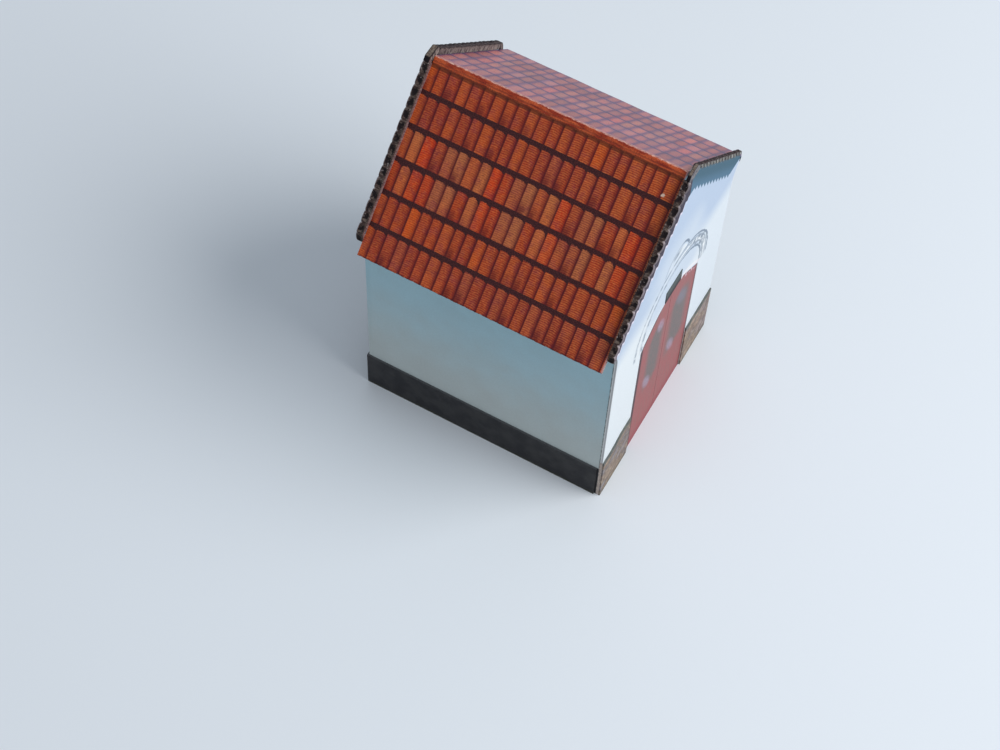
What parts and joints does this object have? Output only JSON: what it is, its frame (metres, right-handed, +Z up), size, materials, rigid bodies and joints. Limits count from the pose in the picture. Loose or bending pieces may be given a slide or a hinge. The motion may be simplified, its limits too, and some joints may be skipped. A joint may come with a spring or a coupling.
{
  "type": "paper model wayside shrine",
  "caption": "Small paper model of a wayside chapel: steep printed tile roof between parapet gables, arched red double door, dark socle strips, hollow and open below.",
  "frame": {"origin": "on the ground under the middle of the model", "axes": "+Z up, the front with the door looks along -Y, +X is to the right when facing along +Y"},
  "size_m": [0.0472, 0.045, 0.0683],
  "materials": {
    "gable_card": "matte",
    "front_print": "satin",
    "wall_card": "satin",
    "roof_print": "satin",
    "tile_strip": "satin",
    "door_print": "satin",
    "stone_print": "satin",
    "dark_print": "satin"
  },
  "bodies": {
    "root": {"front_card": "gable_card", "front_sheet": "front_print", "back_card": "gable_card", "back_sheet": "front_print", "left_wall": "wall_card", "right_wall": "wall_card", "roof_left": "roof_print", "roof_right": "roof_print", "front_tiles_left": "tile_strip", "front_tiles_right": "tile_strip", "front_crown_tile": "tile_strip", "back_tiles_left": "tile_strip", "back_tiles_right": "tile_strip", "back_crown_tile": "tile_strip", "door_leaf_left": "door_print", "door_leaf_right": "door_print", "keystone": "dark_print", "front_socle_left": "stone_print", "front_socle_right": "stone_print", "left_socle": "dark_print", "right_socle": "dark_print", "back_socle": "dark_print"}
  },
  "joints": []
}
